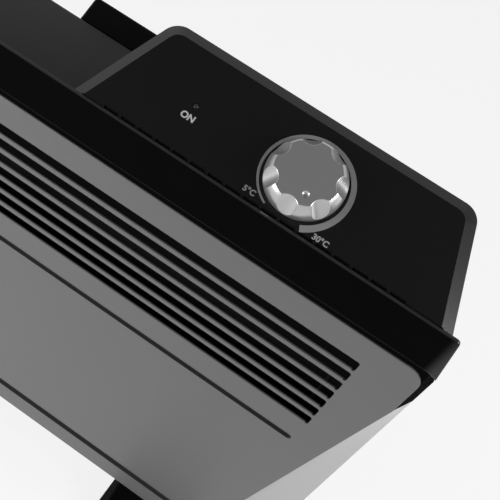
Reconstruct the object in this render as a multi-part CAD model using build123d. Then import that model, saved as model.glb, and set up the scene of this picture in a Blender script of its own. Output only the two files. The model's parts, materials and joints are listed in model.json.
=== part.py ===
from build123d import *
import math
import os

# Convector heater, floor standing, in millimetres.
# +Z is up, the front faces -Y, and the origin is on the floor under the middle of the body.

# Body
WIDTH = 594.0                 # across the side walls
DEPTH = 46.0                  # front panel face to rear panel face
FLOOR_CLEARANCE = 52.0        # floor to the front panel's lower edge
PANEL_HEIGHT = 320.0
SHEET = 1.0                   # pressed steel thickness
FLANGE = 12.0                 # turned-in flange of a cheek or panel
SEAM = 0.3                    # gap between shells that lie beside each other
SCREW_FIT = 0.1               # radial clearance of a screw in its hole
SEAT_FIT = 0.1                # clearance of a piece in its pocket or bore
RUNNING_FIT = 0.05            # radial clearance of a turning or sliding shaft

HALF_BODY = WIDTH / 2
FRONT_Y = -DEPTH / 2
REAR_Y = DEPTH / 2
SKIN_Y = FRONT_Y + SHEET      # what the front panel lies on
BACK_Y = REAR_Y - SHEET       # what the rear panel lies on
BASE_Z = FLOOR_CLEARANCE
PANEL_TOP_Z = BASE_Z + PANEL_HEIGHT

# Front panel: its sides are upright beside the top cover's skirt, then run inwards towards the bottom
PANEL_TOP_INSET = 7.0         # from the side wall to the panel's upright side
PANEL_BOTTOM_INSET = 47.0
PANEL_CORNER_R = 10.0
PANEL_EDGE_R = 0.8            # all round its face

SLOT_ROWS = 7
SLOT_PITCH = 10.45
SLOT_HEIGHT = 7.2             # clear height above the rounded lower edge
SLOT_END_R = 1.6
SLOT_END_INSET = 34.7         # from the side wall
SLOT_BRIDGE = 14.0            # plain metal between the two columns of slots
FIRST_SLOT_DROP = 18.0        # panel's top edge to the first slot's top edge

UPPER_GROOVE_DROP = 110.7     # panel's top edge to the line's middle
UPPER_GROOVE_HEIGHT = 5.0
UPPER_GROOVE_INSET = 36.5
UPPER_GROOVE_DEPTH = 2.5
LOWER_GROOVE_RISE = 27.8      # panel's lower edge to the line's middle
LOWER_GROOVE_HEIGHT = 9.0
LOWER_GROOVE_INSET = 72.0
LOWER_GROOVE_DEPTH = 3.0

# Side cheeks
FACET_DEPTH = 12.0            # how far back the facet reaches at the side wall
CHEEK_DROP = 35.5             # panel's top edge to the cheek's top edge
CHEEK_HEIGHT = PANEL_HEIGHT - CHEEK_DROP

# Top cover: an upright band along the front, a lower roof behind it and a skirt round the panel's top
BAND_GAP = 7.8                # panel's top edge to the band
BAND_HEIGHT = 26.7
BAND_OVERHANG = 4.0           # how far the band stands in front of the panel
BAND_THICKNESS = 1.8
BAND_END_INSETS = (5.6, 9.7)  # from the side wall, at its lower edge and at the rim
BAND_END_DROP = 6.0           # its ends reach down beside the panel's corners
BAND_CUT_MARGIN = 4.4         # the cut round those corners goes this far beyond the side wall
BAND_CORNER_R = 2.5
BAND_EDGE_R = 0.7             # all round its face
ROOF_DROP = 2.0               # rim to roof
CROWN_LOW_INSETS = (6.7, 10.0)           # front and rear corner behind the band, from the side wall
CROWN_HIGH_INSETS = (13.4, 19.6)         # the same at the roof
CROWN_CORNER_R = 4.0
COVER_WALL = 2.0
ROOF_EDGE_R = 1.0
ROOF_EDGE_STEPS = 3
SKIRT_SHOULDER_DROP = 14.0    # panel's top edge to where the skirt's end starts to lean
SKIRT_LEANS = (1.0, 7.0, 10.5)           # front, middle and rear corner of the end, at the band
BAND_Z = PANEL_TOP_Z + BAND_GAP
RIM_Z = BAND_Z + BAND_HEIGHT
RIM_Y = FRONT_Y - BAND_OVERHANG
RIM_BACK_Y = RIM_Y + BAND_THICKNESS
ROOF_Z = RIM_Z - ROOF_DROP
ROOF_REAR_Y = REAR_Y - SEAM
SKIRT_BOTTOM_Z = BASE_Z + CHEEK_HEIGHT + SEAM
SHOULDER_Z = PANEL_TOP_Z - SKIRT_SHOULDER_DROP

# Control unit: its face rises from the rim
CONTROL_INSET = 114.6         # from the side wall to the middle of the unit
CONTROL_SLOPE = 27.0          # degrees from horizontal
FACE_BOTTOM_HALF = 95.0
FACE_TOP_HALF = 79.0
FACE_REAR_SETBACK = 2.5       # the face's upper edge in front of the roof's rear edge
FACE_CORNER_R = 6.0
BEVEL_WIDTH = 6.5
BEVEL_DROP = 3.6
BEVEL_CORNER_R = 9.5
FASCIA_THICKNESS = 1.5
HOUSING_WALL = 2.4
HOUSING_PLATE = 2.4           # housing material behind the fascia
CONTROL_X = HALF_BODY - CONTROL_INSET
SLOPE = math.radians(CONTROL_SLOPE)
FACE_LENGTH = (ROOF_REAR_Y - FACE_REAR_SETBACK - RIM_Y) / math.cos(SLOPE)
PLATE_DEPTH = FASCIA_THICKNESS + HOUSING_PLATE
REACH = 2 * WIDTH             # longer than anything that it trims

VENT_COUNT = 17
VENT_PITCH = 9.5
VENT_LENGTH = 7.8
VENT_WIDTH = 0.9
VENT_OFFSET = -3.6            # middle of the row from the middle of the face

# Thermostat and knob, placed on the control face
KNOB_U = 11.0                 # right of the middle of the face
KNOB_V = 24.2                 # up the slope from the rim
KNOB_BASE_R = 19.2
KNOB_TOP_R = 15.4
KNOB_HEIGHT = 9.5
KNOB_SKIRT = 1.8              # straight wall at the knob's base
KNOB_GAP = 0.6                # knob's underside above the fascia
KNOB_TOP_EDGE_R = 0.5
SCALLOPS = 7
SCALLOP_R = 6.5
SCALLOP_TOP_R = 13.0          # from the knob's axis to the scallop's bottom, at the knob's face
SCALLOP_LEAN = 37.0           # degrees from the knob's axis, outwards on the way down
DIMPLE_R = 2.2
DIMPLE_CENTRE_R = 10.3
DIMPLE_RISE = 1.3             # dimple's centre above the knob's face
SHAFT_R = 3.0
SHAFT_FLAT = 0.8
SHAFT_COVER = 1.8             # knob material over the shaft's end
BUSHING_R = 5.0
THERMOSTAT_SIZE = (32.0, 26.0, 16.0)
THERMOSTAT_EDGE_R = 2.0
KNOB_TOP = KNOB_GAP + KNOB_HEIGHT

# Printed scale round the knob: its gap is one scallop wide, straight down the slope
SCALE_GAP = 360.0 / SCALLOPS
SCALE_SWEEP = 360.0 - SCALE_GAP
SCALE_CLEARANCE = 1.6         # knob's base to the scale
SCALE_MIN_WIDTH = 0.9
SCALE_MAX_WIDTH = 3.3
SCALE_THICKNESS = 0.15
SCALE_STEPS = 24
POINTER_ANGLE = -90.0 + SCALE_GAP / 2

# Power lamp
LAMP_U = -49.8
LAMP_V = 26.4
LAMP_R = 1.4
LAMP_DOME_R = 1.0
LAMP_RISE = 0.2
LAMP_BODY_R = 2.6
LAMP_BODY_LENGTH = 10.0
LAMP_FLANGE = 1.2

# Roof opening under the control unit
ROOF_HOLE_MARGIN = 3.0        # clearance round the thermostat
LAMP_HOLE_MARGIN = 8.0

# Rear panel
REAR_RISE = 4.0               # above the front panel's top edge
REAR_SLOT_ROWS = 9
REAR_SLOT_PITCH = 9.0
REAR_SLOT_HEIGHT = 4.2
REAR_SLOT_LENGTH = 190.0
REAR_SLOT_X = 160.0
REAR_SLOT_RISE = 34.0         # lower edge to the first slot
REAR_TOP_Z = PANEL_TOP_Z + REAR_RISE

# Bottom plate
BOTTOM_SLOT_ROWS = 4
BOTTOM_SLOT_WIDTH = 4.4
BOTTOM_SLOT_PITCH = 8.0
BOTTOM_SLOT_LENGTH = 150.0
BOTTOM_SLOT_X = 82.0

# Wiring duct on the rear panel: its top rises backwards to a ridge
DUCT_X = 68.0
DUCT_WIDTH = 41.0
DUCT_DEPTH = 20.0
DUCT_START = 44.0             # body's lower edge to the duct's
DUCT_RIDGE = (12.0, 8.0)      # behind the rear panel and above the roof
DUCT_BACK_DROP = 2.0          # top of its rear face below the roof
DUCT_WALL = 2.0
DUCT_EDGE_R = 3.0
DUCT_BOTTOM_Z = BASE_Z + DUCT_START

# Cord gland in the duct's lower end
GLAND_R = 8.0
GLAND_NECK_R = 6.0
GLAND_FLANGE_R = 7.2
GLAND_BORE_R = 4.25
GLAND_LENGTH = 15.0
GLAND_EDGE_R = 2.0
GLAND_Y = REAR_Y + DUCT_DEPTH / 2

# Terminal block in the duct
TERMINAL_SIZE = (30.0, 12.0, 20.0)
TERMINAL_RISE = 34.0          # above the duct's lower end
TERMINAL_WAYS = 3
TERMINAL_SCREW_R = 2.2
TERMINAL_SCREW_DEPTH = 3.0
TERMINAL_EDGE = 1.0
TERMINAL_Z = DUCT_BOTTOM_Z + TERMINAL_RISE
TERMINAL_PITCH = TERMINAL_SIZE[0] / TERMINAL_WAYS

# Heating element
ELEMENT_RISE = 74.0           # above the body's lower edge
ELEMENT_END_INSET = 82.0      # from the side wall
ELEMENT_R = 15.0
ELEMENT_SHORT_R = 10.8
ELEMENT_CORE_R = 5.5
ELEMENT_FINS = 12
FIN_THICKNESS = 1.4
ROD_R = 3.2
INSULATOR_R = 7.0
INSULATOR_COLLAR_R = 9.0
INSULATOR_LENGTH = 14.0       # beyond the bracket's inner face
PIN_R = 1.5
PIN_LENGTH = 12.0
ELEMENT_HALF = HALF_BODY - ELEMENT_END_INSET
ELEMENT_Z = BASE_Z + ELEMENT_RISE

BRACKET_GAP = 6.0             # element's end to the bracket
BRACKET_SHEET = 1.2
BRACKET_FRONT = 16.0          # in front of the rod
BRACKET_DROP = 26.0
BRACKET_RISE = 44.0
BRACKET_FOOT = 16.0
BRACKET_X = ELEMENT_HALF + BRACKET_GAP
ROD_END_X = BRACKET_X + INSULATOR_LENGTH

# Heat shield behind the element
SHIELD_SETBACK = 5.0          # in front of the rear panel's seat
SHIELD_SHEET = 0.6

# Thermal cut-out on the right-hand bracket
CUTOUT_R = 7.5
CUTOUT_THICKNESS = 6.0
CUTOUT_RISE = 30.0            # above the element
CUTOUT_EDGE_R = 1.0
TAB_SIZE = (8.0, 0.8, 5.0)
CUTOUT_X = BRACKET_X + BRACKET_SHEET
CUTOUT_Z = ELEMENT_Z + CUTOUT_RISE
TAB_END_X = CUTOUT_X + CUTOUT_THICKNESS + TAB_SIZE[0]
TAB_Y = CUTOUT_R / 2

# Tip-over switch on the rear panel
SWITCH_INSET = 35.0           # from the side wall
SWITCH_RISE = 120.0           # above the body's lower edge
SWITCH_SIZE = (15.0, 26.0, 38.0)
SWITCH_WALL = 1.6
SWITCH_EDGE_R = 2.0
SWITCH_PIN_R = 1.5
SWITCH_PIN_DROP = 7.0         # pin below the case's top
SWING_FIT = 0.06
WEIGHT_R = 4.0
WEIGHT_ARM = 20.0
WEIGHT_END_GAP = 2.0          # between the weight and the case on each side
ARM_WIDTH = 5.0
SWITCH_X = SWITCH_INSET - HALF_BODY
SWITCH_Z = BASE_Z + SWITCH_RISE
SWITCH_Y = BACK_Y - SWITCH_SIZE[1] / 2
SWITCH_PIN_Z = SWITCH_Z + SWITCH_SIZE[2] - SWITCH_PIN_DROP

# Feet
FOOT_INSET = 89.0             # from the side wall to the foot's middle
FOOT_NECK_WIDTH = 60.0
FOOT_WIDTH = 74.0
FOOT_LENGTH = 180.0
FOOT_TOE_HEIGHT = 13.0
FOOT_BEAM_HEIGHT = 24.0
FOOT_LEG_INSET = 1.0          # leg inside the body's faces at its top
FOOT_LEG_FLARE = 9.0          # how far the leg runs forward and back below the body
FOOT_TOE_R = 10.0
FOOT_EDGE_R = 2.5
FOOT_WALL = 5.0
FOOT_LIFT = 1.0               # moulding above the floor
PAD_SIZE = (40.0, 18.0, 3.0)
PAD_INSET = 14.0
PAD_EDGE = 0.6
FOOT_SEAT = (44.0, 16.0)      # raised part that meets the bottom plate
FOOT_GRIP = 8.0               # foot material over a screw head
FOOT_X = HALF_BODY - FOOT_INSET
FOOT_SCREW_Z = BASE_Z - FOOT_GRIP
PAD_Y = FOOT_LENGTH / 2 - PAD_INSET - PAD_SIZE[1] / 2

# Fasteners
SCREW_R = 1.75
SCREW_TIP = 2.0               # thread beyond what it holds
HEAD_R = 3.4
HEAD_HEIGHT = 2.0
HEAD_EDGE_R = 1.2
RECESS = (4.0, 0.9, 0.9)
REAR_SCREW_ROWS = 4
REAR_SCREW_MARGIN = 17.0      # from the ends of a cheek
BRACKET_SCREW_SPACING = 44.0
FOOT_SCREW_SPACING = 24.0
CONTROL_SCREW_U = 72.0
CONTROL_SCREW_Y = 6.0
CONTROL_SCREW_DEPTH = 5.0
CONTROL_BOSS_R = 3.5

# Internal wires
WIRE_R = 1.2
LEAD_R = 0.7
WIRE_BEND = 5.0
PORT_MARGIN = 3.0             # round the wires where they pass the rear panel
WIRE_CLEARANCE = 10.0         # wires in front of the rear panel's seat
WIRE_LOOP = 11.0              # how far a wire stands off the pin or tab that it leaves
THERMOSTAT_WAY = 7.0          # terminals from the knob's axis
PORT_R = TERMINAL_PITCH + WIRE_R + PORT_MARGIN
PORT_Z = SKIRT_BOTTOM_Z - PORT_R - PORT_MARGIN
WIRE_Y = BACK_Y - WIRE_CLEARANCE

FRONT = Plane(origin=(0, FRONT_Y, 0), x_dir=(1, 0, 0), z_dir=(0, -1, 0))
SKIN = Plane(origin=(0, SKIN_Y, 0), x_dir=(1, 0, 0), z_dir=(0, -1, 0))
REAR = Plane(origin=(0, REAR_Y, 0), x_dir=(1, 0, 0), z_dir=(0, -1, 0))
BAND_FRONT = Plane(origin=(0, RIM_Y, 0), x_dir=(1, 0, 0), z_dir=(0, -1, 0))
FACE = Plane(
    origin=(CONTROL_X, RIM_Y, RIM_Z),
    x_dir=(1, 0, 0),
    z_dir=(0, -math.sin(SLOPE), math.cos(SLOPE)),
)
KNOB_PLACE = FACE.location * Location((KNOB_U, KNOB_V, 0))
LAMP_PLACE = FACE.location * Location((LAMP_U, LAMP_V, 0))


def block(low, high):
    """A box between two opposite corners."""
    size = [b - a for a, b in zip(low, high)]
    middle = [(a + b) / 2 for a, b in zip(low, high)]
    return Pos(*middle) * Box(*size)


def polygon(points):
    return make_face(Polyline(*points, close=True))


def rod_x(radius, x0, x1, y, z):
    return Pos((x0 + x1) / 2, y, z) * Rot(0, 90, 0) * Cylinder(radius, x1 - x0)


def rod_y(radius, y0, y1, x, z):
    return Pos(x, (y0 + y1) / 2, z) * Rot(90, 0, 0) * Cylinder(radius, y1 - y0)


def rod_z(radius, z0, z1, x=0.0, y=0.0):
    return Pos(x, y, (z0 + z1) / 2) * Cylinder(radius, z1 - z0)


def circles(shape):
    return shape.edges().filter_by(GeomType.CIRCLE)


def other_side(shape, side):
    """What is made for the right-hand end, or its mirror image."""
    return shape if side > 0 else mirror(shape, about=Plane.YZ)


def fold_x(height):
    """Half-width of the front panel at a height above its lower edge."""
    lean = (PANEL_BOTTOM_INSET - PANEL_TOP_INSET) / CHEEK_HEIGHT
    return HALF_BODY - PANEL_BOTTOM_INSET + lean * min(height, CHEEK_HEIGHT)


def inset_path(points, amount):
    """The same open path moved sideways to its left by an amount, with mitred corners."""
    steps = [Vector(*b) - Vector(*a) for a, b in zip(points, points[1:])]
    normals = [Vector(-s.Y, s.X).normalized() for s in steps]
    moved = [Vector(*points[0]) + normals[0] * amount]
    for point, before, after in zip(points[1:-1], normals, normals[1:]):
        moved.append(Vector(*point) + (before + after) * (amount / (1 + before.dot(after))))
    moved.append(Vector(*points[-1]) + normals[-1] * amount)
    return [(p.X, p.Y) for p in moved]


def side_path(height):
    """Plan of the right-hand cheek's outside at a height, from front flange to rear flange."""
    fold = fold_x(height)
    return [
        (fold - FLANGE, SKIN_Y),
        (fold, SKIN_Y),
        (HALF_BODY, SKIN_Y + FACET_DEPTH),
        (HALF_BODY, BACK_Y),
        (HALF_BODY - FLANGE, BACK_Y),
    ]


def both_ends(right):
    """A closed plan from its right-hand points, mirrored."""
    return right + [(-x, y) for x, y in right[::-1]]


def slot_tops():
    return [PANEL_TOP_Z - FIRST_SLOT_DROP - row * SLOT_PITCH for row in range(SLOT_ROWS)]


def rounded_lip(top, length):
    """The sheet's lower edge along one slot, rounded at the front."""
    quarter = Circle(SHEET) & (Pos(-SHEET / 2, SHEET / 2) * Rectangle(SHEET, SHEET))
    profile = Plane.YZ * (Pos(SKIN_Y, top - SLOT_HEIGHT - SHEET) * quarter)
    return extrude(profile, length / 2, both=True)


def pressed_line(half, height, z, depth):
    """A groove in the front panel: what is cut from the front and what is added behind."""
    cut = extrude(FRONT * Pos(0, z) * SlotOverall(2 * half, height), -depth)
    rib = extrude(SKIN * Pos(0, z) * SlotOverall(2 * (half + SHEET), height + 2 * SHEET), -depth)
    return cut, rib


def front_panel():
    bottom, top = fold_x(0.0), fold_x(PANEL_HEIGHT)
    face = polygon(both_ends([(bottom, BASE_Z), (top, BASE_Z + CHEEK_HEIGHT), (top, PANEL_TOP_Z)]))
    face = fillet(face.vertices().sort_by(Axis.Y)[-2:], PANEL_CORNER_R)
    panel = extrude(FRONT * face, -SHEET)
    turned = bottom - FLANGE - SEAM
    panel += block((-turned, FRONT_Y, BASE_Z), (turned, FRONT_Y + FLANGE, BASE_Z + SHEET))
    panel = fillet(panel.faces().sort_by(Axis.Y)[0].outer_wire().edges(), PANEL_EDGE_R)

    upper_z = PANEL_TOP_Z - UPPER_GROOVE_DROP
    lower_z = BASE_Z + LOWER_GROOVE_RISE
    lines = [
        pressed_line(HALF_BODY - UPPER_GROOVE_INSET, UPPER_GROOVE_HEIGHT, upper_z, UPPER_GROOVE_DEPTH),
        pressed_line(HALF_BODY - LOWER_GROOVE_INSET, LOWER_GROOVE_HEIGHT, lower_z, LOWER_GROOVE_DEPTH),
    ]
    for cut, rib in lines:
        panel = panel + rib - cut

    outer = HALF_BODY - SLOT_END_INSET
    length = outer - SLOT_BRIDGE / 2
    for top in slot_tops():
        for side in (-1, 1):
            x = side * (outer - length / 2)
            height = SLOT_HEIGHT + SHEET
            opening = Pos(x, top - height / 2) * RectangleRounded(length, height, SLOT_END_R)
            panel -= extrude(FRONT * opening, -SHEET)
            panel += Pos(x, 0, 0) * rounded_lip(top, length - 2 * SLOT_END_R)
    return panel


def side_cheek(side):
    """Side wall, facet and flanges in one folded sheet."""
    layers = []
    for height in (0.0, CHEEK_HEIGHT):
        outside = side_path(height)
        layers.append(Pos(0, 0, BASE_Z + height) * polygon(outside + inset_path(outside, SHEET)[::-1]))
    cheek = loft(layers, ruled=True)
    for x, z in rear_screw_places():
        if x > 0:
            cheek -= rod_y(SCREW_R + SCREW_FIT, BACK_Y - FLANGE, REAR_Y, x, z)
    return other_side(cheek, side)


def rear_screw_places():
    x = HALF_BODY - FLANGE / 2
    step = (CHEEK_HEIGHT - 2 * REAR_SCREW_MARGIN) / (REAR_SCREW_ROWS - 1)
    rows = [BASE_Z + REAR_SCREW_MARGIN + step * row for row in range(REAR_SCREW_ROWS)]
    return [(side * x, z) for side in (-1, 1) for z in rows]


def bracket_screw_places():
    x = BRACKET_X + BRACKET_SHEET + BRACKET_FOOT / 2
    middle = ELEMENT_Z + (BRACKET_RISE - BRACKET_DROP) / 2
    rows = (middle - BRACKET_SCREW_SPACING / 2, middle + BRACKET_SCREW_SPACING / 2)
    return [(side * x, z) for side in (-1, 1) for z in rows]


def rear_panel():
    top = skirt_corners(REAR_TOP_Z)[-1][0]
    face = polygon(both_ends([(HALF_BODY, BASE_Z), (HALF_BODY, SHOULDER_Z), (top, REAR_TOP_Z)]))
    panel = extrude(REAR * face, SHEET)
    turned = HALF_BODY - FLANGE - SHEET
    panel += block((-turned, REAR_Y - FLANGE, BASE_Z), (turned, REAR_Y, BASE_Z + SHEET))
    for row in range(REAR_SLOT_ROWS):
        z = BASE_Z + REAR_SLOT_RISE + row * REAR_SLOT_PITCH
        for side in (-1, 1):
            shape = Pos(side * REAR_SLOT_X, z) * SlotOverall(REAR_SLOT_LENGTH, REAR_SLOT_HEIGHT)
            panel -= extrude(REAR * shape, SHEET)
    for x, z in rear_screw_places() + bracket_screw_places():
        panel -= rod_y(SCREW_R + SCREW_FIT, BACK_Y - SHEET, REAR_Y + SHEET, x, z)
    return panel - rod_y(PORT_R, BACK_Y - SHEET, REAR_Y + SHEET, DUCT_X, PORT_Z)


def bottom_plate():
    """Intake plate on the two bottom flanges, between the cheeks."""
    right = inset_path(side_path(0.0), SHEET + SEAM)[1:4]
    plate = extrude(Pos(0, 0, BASE_Z + SHEET) * polygon(both_ends(right)), SHEET)
    for row in range(BOTTOM_SLOT_ROWS):
        y = (row - (BOTTOM_SLOT_ROWS - 1) / 2) * BOTTOM_SLOT_PITCH
        for side in (-1, 1):
            shape = SlotOverall(BOTTOM_SLOT_LENGTH, BOTTOM_SLOT_WIDTH)
            plate -= extrude(Pos(side * BOTTOM_SLOT_X, y, BASE_Z + SHEET) * shape, SHEET)
    for side in (-1, 1):
        for offset in foot_screw_offsets():
            plate -= rod_z(SCREW_R + SCREW_FIT, BASE_Z, BASE_Z + 3 * SHEET, side * FOOT_X + offset)
    return plate


def foot_screw_offsets():
    return (-FOOT_SCREW_SPACING / 2, FOOT_SCREW_SPACING / 2)


def band():
    """Plate along the front whose top edge is the rim, cut out round the front panel's top."""
    low, high = [HALF_BODY - inset for inset in BAND_END_INSETS]
    lean = (low - high) / BAND_HEIGHT
    foot, foot_z = low + lean * BAND_END_DROP, BAND_Z - BAND_END_DROP
    face = polygon([(-foot, foot_z), (foot, foot_z), (high, RIM_Z), (-high, RIM_Z)])
    face = fillet(face.vertices().sort_by(Axis.Y)[-2:], BAND_CORNER_R)
    side = HALF_BODY + BAND_CUT_MARGIN
    panel = polygon([(-side, BASE_Z), (side, BASE_Z), (side, BAND_Z), (-side, BAND_Z)])
    face -= fillet(panel.vertices().sort_by(Axis.Y)[-2:], PANEL_CORNER_R + BAND_GAP)
    plate = extrude(BAND_FRONT * face, -BAND_THICKNESS)
    return fillet(plate.faces().sort_by(Axis.Y)[0].outer_wire().edges(), BAND_EDGE_R)


def crown_plan(corner_insets, inset, z):
    """Plan of the cover behind the band at one height, drawn in by a wall."""
    front, rear = [HALF_BODY - corner - inset for corner in corner_insets]
    face = polygon(both_ends([(front, RIM_Y + BAND_THICKNESS / 2 + inset), (rear, ROOF_REAR_Y - inset)]))
    return Pos(0, 0, z) * fillet(face.vertices().sort_by(Axis.Y)[-2:], CROWN_CORNER_R - inset)


def crown():
    """The cover behind the band, with the roof's edge rounded, as a solid."""
    turns = [math.pi / 2 * step / ROOF_EDGE_STEPS for step in range(ROOF_EDGE_STEPS + 1)]
    rounding = [(ROOF_EDGE_R * (1 - math.cos(turn)), ROOF_EDGE_R * (1 - math.sin(turn))) for turn in turns]
    high = [crown_plan(CROWN_HIGH_INSETS, inset, ROOF_Z - drop) for inset, drop in rounding]
    return loft([crown_plan(CROWN_LOW_INSETS, 0.0, BAND_Z)] + high, ruled=True)


def crown_hollow():
    return loft([
        crown_plan(CROWN_LOW_INSETS, COVER_WALL, BAND_Z + COVER_WALL),
        crown_plan(CROWN_HIGH_INSETS, COVER_WALL, ROOF_Z - COVER_WALL),
    ], ruled=True)


def skirt_corners(z):
    """Front, middle and rear corner of the right-hand end above the cheek; it leans above the shoulder."""
    share = max(0.0, z - SHOULDER_Z) / (BAND_Z - SHOULDER_Z)
    return [(x - share * lean, y) for (x, y), lean in zip(side_path(z - BASE_Z)[1:4], SKIRT_LEANS)]


def skirt(inset, top):
    """What carries the cheeks' shape on up to the band, as a solid drawn in by a wall."""
    layers = []
    for z in (SKIRT_BOTTOM_Z, SHOULDER_Z, top):
        path = [(0.0, SKIN_Y)] + skirt_corners(min(z, BAND_Z)) + [(0.0, BACK_Y)]
        right = inset_path(path, inset)[1:-1]
        layers.append(Pos(0, 0, z) * polygon(both_ends(right)))
    return loft(layers, ruled=True)


def top_cover():
    cover = crown() + skirt(0.0, BAND_Z) - crown_hollow()
    cover -= skirt(COVER_WALL, BAND_Z + COVER_WALL)
    cover -= roof_hole()
    for u in vent_places():
        cover -= vent_slot(u)
    for x in control_screw_xs():
        cover -= rod_z(SCREW_R + SCREW_FIT, ROOF_Z - 2 * COVER_WALL, ROOF_Z + COVER_WALL, x, CONTROL_SCREW_Y)
    return cover + band()


def roof_hole():
    """Opening for the thermostat and the lamp, as large as the thermostat needs where it passes."""
    width, length, height = THERMOSTAT_SIZE
    middle = KNOB_PLACE.position - FACE.z_dir * (PLATE_DEPTH + height / 2)
    reach_y = (length * math.cos(SLOPE) + height * math.sin(SLOPE)) / 2 + ROOF_HOLE_MARGIN
    left = CONTROL_X + LAMP_U - LAMP_HOLE_MARGIN
    right = CONTROL_X + KNOB_U + width / 2 + ROOF_HOLE_MARGIN
    low = (left, middle.Y - reach_y, ROOF_Z - 2 * COVER_WALL)
    return block(low, (right, middle.Y + reach_y, ROOF_Z + COVER_WALL))


def vent_places():
    first = VENT_OFFSET - (VENT_COUNT - 1) * VENT_PITCH / 2
    return [first + index * VENT_PITCH for index in range(VENT_COUNT)]


def vent_slot(u):
    """One short slot behind the rim, through the fascia, its housing and the roof."""
    x = CONTROL_X + u
    low = (x - VENT_LENGTH / 2, RIM_BACK_Y, ROOF_Z - 2 * COVER_WALL)
    return block(low, (x + VENT_LENGTH / 2, RIM_BACK_Y + VENT_WIDTH, RIM_Z + COVER_WALL))


def control_screw_xs():
    return [CONTROL_X + side * CONTROL_SCREW_U for side in (-1, 1)]


def face_outline(grow, corner_r):
    """Trapezoid of the control face, grown on three sides, that starts below the rim."""
    lean = (FACE_BOTTOM_HALF - FACE_TOP_HALF) / FACE_LENGTH
    side = math.hypot(1, lean) * grow
    start = -BEVEL_WIDTH
    top = FACE_LENGTH + grow
    low_half = FACE_BOTTOM_HALF - lean * start + side
    top_half = FACE_BOTTOM_HALF - lean * top + side
    face = polygon([(-low_half, start), (low_half, start), (top_half, top), (-top_half, top)])
    return fillet(face.vertices().sort_by(Axis.Y)[-2:], corner_r)


def behind_rim():
    """Everything above the roof and behind the rim."""
    return block((-REACH, RIM_BACK_Y + SEAT_FIT, ROOF_Z), (REACH, REACH, ROOF_Z + REACH))


def in_front_of_back(inset):
    """Everything in front of the control unit's leaning back wall."""
    top = FACE.from_local_coords(Vector(0, FACE_LENGTH + BEVEL_WIDTH, -BEVEL_DROP))
    foot_y = ROOF_REAR_Y - ROOF_EDGE_R
    lean = (top.Y - foot_y) / (top.Z - ROOF_Z)
    low = (foot_y - inset - lean * REACH, ROOF_Z - REACH)
    high = (foot_y - inset + lean * REACH, ROOF_Z + REACH)
    return extrude(Plane.YZ * polygon([(-2 * REACH, low[1]), low, high, (-2 * REACH, high[1])]), REACH)


def control_housing():
    """Wedge with a bevelled edge on three sides and a pocket for the fascia."""
    inner = FACE * face_outline(0.0, FACE_CORNER_R)
    outer = FACE * Pos(0, 0, -BEVEL_DROP) * face_outline(BEVEL_WIDTH, BEVEL_CORNER_R)
    housing = loft([outer, inner], ruled=True) + extrude(outer, -REACH)
    housing = housing & in_front_of_back(0.0) & behind_rim()
    under = FACE * Pos(0, 0, -PLATE_DEPTH)
    cavity = extrude(under * face_outline(BEVEL_WIDTH - HOUSING_WALL, FACE_CORNER_R), -REACH)
    cavity = cavity & in_front_of_back(HOUSING_WALL)
    for x in control_screw_xs():
        cavity -= rod_z(CONTROL_BOSS_R, ROOF_Z, ROOF_Z + REACH, x, CONTROL_SCREW_Y)
    housing -= cavity
    housing -= extrude(inner, -FASCIA_THICKNESS)
    housing -= extrude(KNOB_PLACE * Circle(BUSHING_R + SEAT_FIT), -2 * PLATE_DEPTH, both=True)
    housing -= extrude(LAMP_PLACE * Circle(LAMP_R + SEAT_FIT), -2 * PLATE_DEPTH, both=True)
    for x in control_screw_xs():
        housing -= rod_z(SCREW_R, ROOF_Z, ROOF_Z + CONTROL_SCREW_DEPTH, x, CONTROL_SCREW_Y)
    for u in vent_places():
        housing -= vent_slot(u)
    return housing


def control_fascia():
    plate = extrude(FACE * face_outline(-SEAT_FIT, FACE_CORNER_R - SEAT_FIT), -FASCIA_THICKNESS)
    plate = plate & behind_rim()
    plate -= extrude(KNOB_PLACE * Circle(BUSHING_R + SEAT_FIT), -FASCIA_THICKNESS)
    plate -= extrude(LAMP_PLACE * Circle(LAMP_R + SEAT_FIT), -FASCIA_THICKNESS)
    for u in vent_places():
        plate -= vent_slot(u)
    return plate


def dial_scale():
    """Printed arc that widens from the lowest to the highest setting."""
    inner_r = KNOB_BASE_R + SCALE_CLEARANCE

    def outer_point(share):
        angle = math.radians(POINTER_ANGLE + SCALE_SWEEP * (1 - share))
        radius = inner_r + SCALE_MIN_WIDTH + (SCALE_MAX_WIDTH - SCALE_MIN_WIDTH) * share
        return (radius * math.cos(angle), radius * math.sin(angle))

    outer = Spline(*[outer_point(index / SCALE_STEPS) for index in range(SCALE_STEPS + 1)])
    inner = CenterArc((0, 0), inner_r, POINTER_ANGLE, SCALE_SWEEP)
    ends = [Line(outer @ 0, inner @ 1), Line(outer @ 1, inner @ 0)]
    return extrude(KNOB_PLACE * make_face([outer, inner] + ends), SCALE_THICKNESS)


def shaft_end():
    """The flatted stretch of the shaft that the knob fits."""
    end = rod_z(SHAFT_R, KNOB_GAP, KNOB_TOP - SHAFT_COVER)
    return end - block((SHAFT_R - SHAFT_FLAT, -SHAFT_R, 0), (SHAFT_R, SHAFT_R, KNOB_TOP))


def knob_scallop():
    """Round tool that leans outwards on its way down, and cuts one scallop."""
    lean = math.radians(SCALLOP_LEAN)
    x = SCALLOP_TOP_R + SCALLOP_R * math.cos(lean)
    z = KNOB_TOP + SCALLOP_R * math.sin(lean)
    return Pos(x, 0, z) * Rot(0, -SCALLOP_LEAN, 0) * Cylinder(SCALLOP_R, 4 * KNOB_HEIGHT)


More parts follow.
